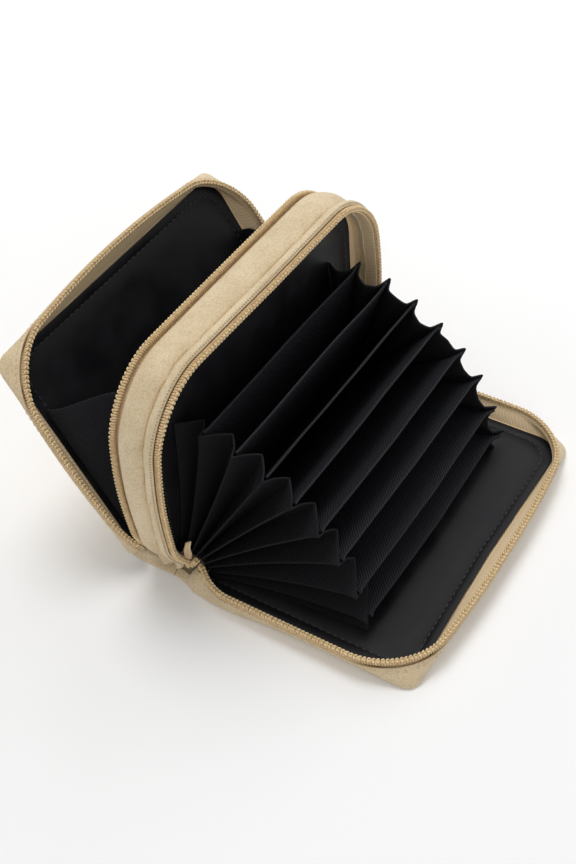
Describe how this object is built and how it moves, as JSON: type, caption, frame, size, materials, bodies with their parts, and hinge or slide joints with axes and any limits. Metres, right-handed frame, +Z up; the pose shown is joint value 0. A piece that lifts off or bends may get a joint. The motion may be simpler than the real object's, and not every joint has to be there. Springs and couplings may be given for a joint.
{
  "type": "accordion card wallet",
  "caption": "Zip-round accordion card wallet, open: a flat front cover, a lined middle panel, a leaning back cover and a fan of card pockets between pleated gussets.",
  "frame": {"origin": "centre of the front cover's outer face, which lies on the table", "axes": "+X along the spine, +Y from the front cover's free edge towards the spine and the back cover, +Z up off the table"},
  "size_m": [0.1328, 0.1523, 0.0881],
  "materials": {
    "leatherette": "fine pebbled grain, satin",
    "lining": "smooth black lining, satin",
    "twill": "fine black twill, stiffened",
    "zip_tape": "ribbed woven tape, matte",
    "zip_coil": "gold-coloured nylon coil, semi-gloss",
    "board": "plain stiffening board",
    "gold_metal": "light gold plating"
  },
  "bodies": {
    "front_cover": {"front_skin": "leatherette", "front_board": "board", "front_lining": "lining", "front_tape": "zip_tape", "front_coil": "zip_coil", "spine_front_panel": "leatherette", "spine_back_panel": "leatherette", "accordion_gusset_near": "twill", "accordion_gusset_far": "twill", "accordion_back_strip": "twill", "note_gusset_near": "twill", "note_gusset_far": "twill", "front_slider": "gold_metal"},
    "middle_panel": {"middle_board": "board", "middle_front_lining": "lining", "middle_back_lining": "lining", "middle_front_band": "leatherette", "middle_back_band": "leatherette", "middle_front_tape": "zip_tape", "middle_back_tape": "zip_tape", "middle_front_coil": "zip_coil", "middle_back_coil": "zip_coil", "back_slider": "gold_metal"},
    "back_cover": {"back_skin": "leatherette", "back_board": "board", "back_lining": "lining", "back_tape": "zip_tape", "back_coil": "zip_coil"},
    "leaf_1": {"accordion_leaf_1": "twill"},
    "leaf_2": {"accordion_leaf_2": "twill"},
    "leaf_3": {"accordion_leaf_3": "twill"},
    "leaf_4": {"accordion_leaf_4": "twill"},
    "leaf_5": {"accordion_leaf_5": "twill"},
    "leaf_6": {"accordion_leaf_6": "twill"},
    "leaf_7": {"accordion_leaf_7": "twill"},
    "leaf_8": {"accordion_leaf_8": "twill"},
    "front_pull": {"front_pull": "gold_metal"},
    "back_pull": {"back_pull": "gold_metal"}
  },
  "joints": [
    {"name": "middle_fold", "type": "hinge", "parent": "front_cover", "child": "middle_panel", "pos_m": [0, 0.0385, 0.0092], "axis": [1, 0, 0], "range_deg": [0, 90], "deforming": ["accordion_gusset_near", "accordion_gusset_far", "accordion_back_strip", "spine_front_panel", "spine_back_panel"]},
    {"name": "back_cover_fold", "type": "hinge", "parent": "middle_panel", "child": "back_cover", "pos_m": [0, 0.0597, 0.0092], "axis": [1, 0, 0], "range_deg": [0, 31], "deforming": ["note_gusset_near", "note_gusset_far"]},
    {"name": "leaf_1_fold", "type": "hinge", "parent": "front_cover", "child": "leaf_1", "pos_m": [0, 0.0385, 0.0092], "axis": [1, 0, 0], "range_deg": [0, 81]},
    {"name": "leaf_2_fold", "type": "hinge", "parent": "front_cover", "child": "leaf_2", "pos_m": [0, 0.0385, 0.0092], "axis": [1, 0, 0], "range_deg": [0, 70]},
    {"name": "leaf_3_fold", "type": "hinge", "parent": "front_cover", "child": "leaf_3", "pos_m": [0, 0.0385, 0.0092], "axis": [1, 0, 0], "range_deg": [0, 59]},
    {"name": "leaf_4_fold", "type": "hinge", "parent": "front_cover", "child": "leaf_4", "pos_m": [0, 0.0385, 0.0092], "axis": [1, 0, 0], "range_deg": [0, 48]},
    {"name": "leaf_5_fold", "type": "hinge", "parent": "front_cover", "child": "leaf_5", "pos_m": [0, 0.0385, 0.0092], "axis": [1, 0, 0], "range_deg": [0, 37]},
    {"name": "leaf_6_fold", "type": "hinge", "parent": "front_cover", "child": "leaf_6", "pos_m": [0, 0.0385, 0.0092], "axis": [1, 0, 0], "range_deg": [0, 26.5]},
    {"name": "leaf_7_fold", "type": "hinge", "parent": "front_cover", "child": "leaf_7", "pos_m": [0, 0.0385, 0.0092], "axis": [1, 0, 0], "range_deg": [0, 14]},
    {"name": "leaf_8_fold", "type": "hinge", "parent": "front_cover", "child": "leaf_8", "pos_m": [0, 0.0385, 0.0092], "axis": [1, 0, 0], "range_deg": [0, 5]},
    {"name": "front_pull_swing", "type": "hinge", "parent": "front_cover", "child": "front_pull", "pos_m": [0.0651, 0.03375, 0.0092], "axis": [0, 0, -1], "range_deg": [0, 170]},
    {"name": "back_pull_swing", "type": "hinge", "parent": "middle_panel", "child": "back_pull", "pos_m": [0.0651, 0.0597, 0.01395], "axis": [0, -1, 0], "range_deg": [0, 170]}
  ],
  "couplings": [
    {"joint": "leaf_1_fold", "follows": "middle_fold", "ratio": 0.9},
    {"joint": "leaf_2_fold", "follows": "middle_fold", "ratio": 0.77777},
    {"joint": "leaf_3_fold", "follows": "middle_fold", "ratio": 0.65555},
    {"joint": "leaf_4_fold", "follows": "middle_fold", "ratio": 0.53333},
    {"joint": "leaf_5_fold", "follows": "middle_fold", "ratio": 0.41111},
    {"joint": "leaf_6_fold", "follows": "middle_fold", "ratio": 0.29444},
    {"joint": "leaf_7_fold", "follows": "middle_fold", "ratio": 0.15555},
    {"joint": "leaf_8_fold", "follows": "middle_fold", "ratio": 0.05555}
  ]
}
